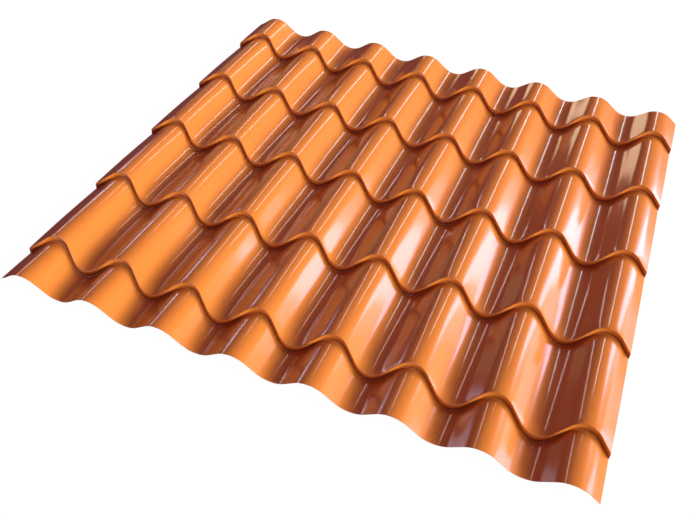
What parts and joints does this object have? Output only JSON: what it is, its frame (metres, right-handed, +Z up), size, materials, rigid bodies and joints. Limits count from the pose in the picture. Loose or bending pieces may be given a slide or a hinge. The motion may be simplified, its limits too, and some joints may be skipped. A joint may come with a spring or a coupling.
{
  "type": "tile-effect metal roofing sheet",
  "caption": "Glossy orange painted steel roofing sheet, rolled into waves and pressed across into scalloped tile steps; laps with like sheets and screws down to roof battens.",
  "frame": {"origin": "middle of the sheet's plan outline, on the level surface that it lies on", "axes": "+X across the waves, +Y along them from the front (eave) edge to the rear edge, +Z up out of the painted face"},
  "size_m": [1.098, 1.03, 0.043],
  "materials": {
    "paint": "gloss"
  },
  "bodies": {
    "root": {"tile_sheet": "paint"}
  },
  "joints": []
}
